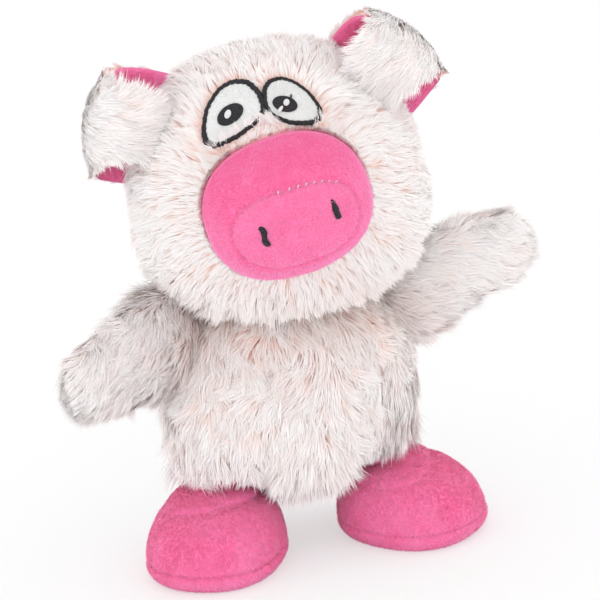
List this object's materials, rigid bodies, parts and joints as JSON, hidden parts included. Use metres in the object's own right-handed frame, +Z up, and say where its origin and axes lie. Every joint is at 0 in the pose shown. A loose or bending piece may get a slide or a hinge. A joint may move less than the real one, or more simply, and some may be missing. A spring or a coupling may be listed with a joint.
{
  "type": "plush pig",
  "caption": "Stuffed toy pig that stands on flat-soled boots, with long pale pile, a domed short-pile snout, stitched felt eyes, curled ears and swinging stub arms.",
  "frame": {"origin": "on the floor, under the middle of the whole toy", "axes": "+Z up; the face looks along -Y; +X is to the right as seen from the front"},
  "size_m": [0.2252, 0.1546, 0.2454],
  "materials": {
    "long_pile": "long shaggy pile, off-white with a faint pink depth",
    "pink_minky": "short dense pile, matte pink",
    "white_felt": "flat felt, cold off-white",
    "black_satin": "satin-stitched thread, black with a soft sheen",
    "white_thread": "white sewing thread",
    "fibre": "loose stuffing fibre, white"
  },
  "bodies": {
    "torso": {"torso_cover": "long_pile", "torso_fill": "fibre"},
    "head": {"head_cover": "long_pile", "head_fill": "fibre", "snout_band": "pink_minky", "snout_front": "pink_minky", "snout_fill": "fibre", "snout_seam_thread": "white_thread", "nostril_left": "black_satin", "nostril_right": "black_satin", "eye_patch_left": "white_felt", "eye_outline_left": "black_satin", "pupil_left": "black_satin", "glint_left": "white_thread", "eye_patch_right": "white_felt", "eye_outline_right": "black_satin", "pupil_right": "black_satin", "glint_right": "white_thread"},
    "ear_left": {"ear_left_fur": "long_pile", "ear_left_lining": "pink_minky"},
    "ear_right": {"ear_right_fur": "long_pile", "ear_right_lining": "pink_minky"},
    "arm_left": {"arm_left_cover": "long_pile", "arm_left_fill": "fibre"},
    "arm_right": {"arm_right_cover": "long_pile", "arm_right_fill": "fibre"},
    "boot_left": {"boot_left_upper": "pink_minky", "boot_left_sole": "pink_minky", "boot_left_fill": "fibre"},
    "boot_right": {"boot_right_upper": "pink_minky", "boot_right_sole": "pink_minky", "boot_right_fill": "fibre"}
  },
  "joints": [
    {"name": "neck", "type": "hinge", "parent": "torso", "child": "head", "pos_m": [-0.00272, 0.02135, 0.118], "axis": [1, 0, 0], "range_deg": [-12, 8], "stiffness_Nm_per_rad": 1},
    {"name": "shoulder_left", "type": "hinge", "parent": "torso", "child": "arm_left", "pos_m": [-0.05372, 0.02135, 0.107], "axis": [-0.5592, 0.829, 0], "range_deg": [-12, 25], "stiffness_Nm_per_rad": 0.2},
    {"name": "shoulder_right", "type": "hinge", "parent": "torso", "child": "arm_right", "pos_m": [0.04628, 0.02135, 0.107], "axis": [-0.0872, -0.9962, 0], "range_deg": [-28, 8], "stiffness_Nm_per_rad": 0.2},
    {"name": "hip_left", "type": "hinge", "parent": "torso", "child": "boot_left", "pos_m": [-0.04172, 0.01535, 0.048], "axis": [1, 0, 0], "range_deg": [-20, 20], "stiffness_Nm_per_rad": 1},
    {"name": "hip_right", "type": "hinge", "parent": "torso", "child": "boot_right", "pos_m": [0.03428, 0.01535, 0.048], "axis": [1, 0, 0], "range_deg": [-20, 20], "stiffness_Nm_per_rad": 1},
    {"name": "ear_left_fold", "type": "hinge", "parent": "head", "child": "ear_left", "pos_m": [-0.05747, 0.03421, 0.20106], "axis": [-0.2497, -0.0247, -0.968], "range_deg": [-20, 20], "stiffness_Nm_per_rad": 0.03},
    {"name": "ear_right_fold", "type": "hinge", "parent": "head", "child": "ear_right", "pos_m": [0.04616, 0.01693, 0.213], "axis": [0.7005, -0.1714, -0.6928], "range_deg": [-20, 20], "stiffness_Nm_per_rad": 0.03}
  ]
}
